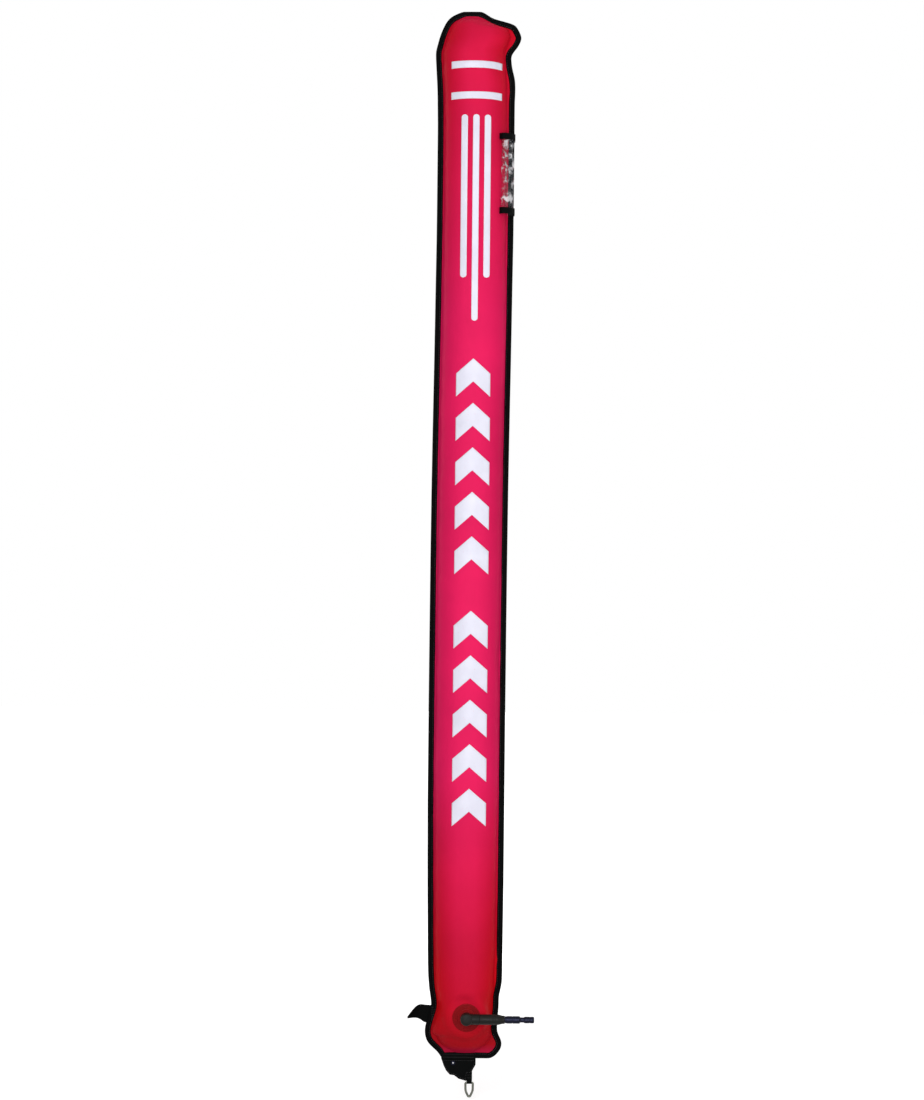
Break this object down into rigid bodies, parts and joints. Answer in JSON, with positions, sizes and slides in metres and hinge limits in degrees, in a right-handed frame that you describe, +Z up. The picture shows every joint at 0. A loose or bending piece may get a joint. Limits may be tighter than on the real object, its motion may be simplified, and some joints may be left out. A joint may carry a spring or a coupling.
{
  "type": "surface marker buoy",
  "caption": "Inflated diver's signal tube in red coated nylon with black bound seams, a swivel inflator with a quick-connect nipple, dump valve, light stick sleeve and base ring",
  "frame": {"origin": "on the tube's axis, at the middle of the bottom seam edge", "axes": "+Z up along the tube, +X toward the inflator's nipple, -Y out of the front panel"},
  "size_m": [0.2206, 0.156, 1.9002],
  "materials": {
    "coated_nylon": "polyurethane-coated nylon, slight sheen",
    "moulded_red": "welded flexible plastic",
    "black_webbing": "woven nylon tape",
    "black_plastic": "moulded plastic, semi-matt",
    "seal_rubber": "smooth rubber",
    "plated_metal": "dark plated brass",
    "stainless": "drawn stainless wire",
    "clear_vinyl": "clear flexible vinyl"
  },
  "bodies": {
    "envelope": {"front_panel": "coated_nylon", "back_panel": "coated_nylon", "edge_binding": "black_webbing", "inflator_flange": "moulded_red", "dump_flange": "moulded_red", "dump_housing": "black_plastic", "dump_cap": "black_plastic", "dump_spring": "stainless", "base_tab": "black_webbing", "tab_eyelet": "plated_metal", "tab_eyelet_washer": "plated_metal", "ring_loop": "black_webbing", "stow_strap": "black_webbing", "light_stick_sleeve": "clear_vinyl", "sleeve_band_top": "black_webbing", "sleeve_band_bottom": "black_webbing"},
    "inflator": {"inflator_elbow": "black_plastic", "elbow_lock_ring": "black_plastic", "swivel_o_ring": "seal_rubber", "inflator_stem": "black_plastic", "stem_o_ring": "seal_rubber", "inlet_nipple": "plated_metal", "nipple_o_ring": "seal_rubber", "check_spring_seat": "black_plastic", "check_spring": "stainless"},
    "check_valve": {"check_poppet": "plated_metal", "check_seal": "seal_rubber"},
    "dump_plunger": {"dump_disc": "black_plastic", "dump_seal": "seal_rubber", "dump_knob": "black_plastic"},
    "ring": {"line_ring": "stainless"}
  },
  "joints": [
    {"name": "inflator_swivel", "type": "hinge", "parent": "envelope", "child": "inflator", "pos_m": [0.0045, -0.0465, 0.077], "axis": [0, -1, 0], "continuous": true},
    {"name": "check_valve_slide", "type": "slide", "parent": "inflator", "child": "check_valve", "axis": [-1, 0, 0], "range_m": [0, 0.0025], "stiffness_N_per_m": 300, "springref_m": -0.004, "deforming": ["check_spring"]},
    {"name": "dump_slide", "type": "slide", "parent": "envelope", "child": "dump_plunger", "axis": [0, 1, 0], "range_m": [0, 0.005], "stiffness_N_per_m": 300, "springref_m": -0.006, "deforming": ["dump_spring"]},
    {"name": "ring_swing", "type": "hinge", "parent": "envelope", "child": "ring", "pos_m": [0.0105, 0, -0.04375], "axis": [1, 0, 0], "range_deg": [-100, 100]}
  ]
}
